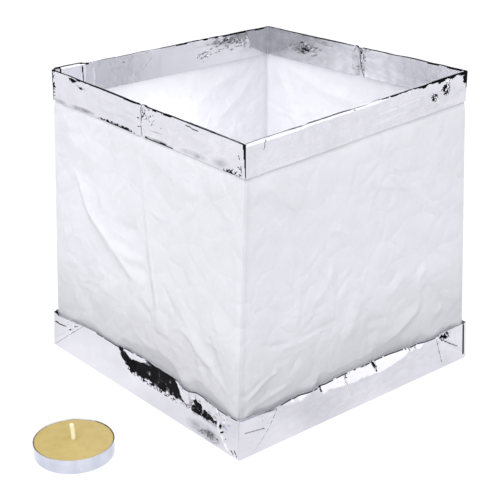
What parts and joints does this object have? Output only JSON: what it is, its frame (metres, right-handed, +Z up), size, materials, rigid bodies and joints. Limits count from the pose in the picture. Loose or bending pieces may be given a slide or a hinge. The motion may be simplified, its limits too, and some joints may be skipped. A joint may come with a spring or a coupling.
{
  "type": "paper lantern",
  "caption": "Square open-topped tissue paper lantern with a foil-faced rim strip, a folded and stapled foil tray as its base, and a tealight standing beside it.",
  "frame": {"origin": "middle of the tray's underside, on the surface that the lantern stands on", "axes": "+Z up; the four walls face -Y (front), +X (right), +Y (back) and -X (left); the tealight stands off the left wall, towards -X"},
  "size_m": [0.2368, 0.1628, 0.1587],
  "materials": {
    "tray_foil": "polished",
    "rim_foil": "polished",
    "tissue": "matte",
    "foam_tape": "matte",
    "steel_wire": "satin",
    "cup_aluminium": "satin",
    "wax": "satin",
    "wick_cotton": "matte",
    "sustainer_tin": "satin"
  },
  "bodies": {
    "tray": {"tray_floor": "tray_foil", "tray_wall_front": "tray_foil", "tray_wall_right": "tray_foil", "tray_wall_back": "tray_foil", "tray_wall_left": "tray_foil", "corner_ear_front_left": "tray_foil", "corner_ear_front_right": "tray_foil", "corner_ear_back_right": "tray_foil", "corner_ear_back_left": "tray_foil", "staple_front_left": "steel_wire", "staple_front_right": "steel_wire", "staple_back_right": "steel_wire", "staple_back_left": "steel_wire", "hem_tape_front": "foam_tape", "hem_tape_right": "foam_tape", "hem_tape_back": "foam_tape", "hem_tape_left": "foam_tape", "shade_sheet_left": "tissue", "shade_sheet_right": "tissue"},
    "rim": {"rim_front": "rim_foil", "rim_back": "rim_foil", "rim_left_front_half": "rim_foil", "rim_left_back_half": "rim_foil", "rim_right_front_half": "rim_foil", "rim_right_back_half": "rim_foil", "rim_lap": "rim_foil"},
    "tealight": {"tealight_cup": "cup_aluminium"},
    "candle": {"tealight_wax": "wax", "wick": "wick_cotton", "wick_sustainer": "sustainer_tin"}
  },
  "joints": [
    {"name": "rim_collapse", "type": "slide", "parent": "tray", "child": "rim", "axis": [0, 0, 1], "range_m": [-0.135, 0], "deforming": ["shade_sheet_left", "shade_sheet_right"]},
    {"name": "tealight_lift", "type": "slide", "parent": "tray", "child": "tealight", "axis": [0, 0, 1], "range_m": [0, 0.06]},
    {"name": "candle_lift", "type": "slide", "parent": "tealight", "child": "candle", "axis": [0, 0, 1], "range_m": [0, 0.012]}
  ]
}
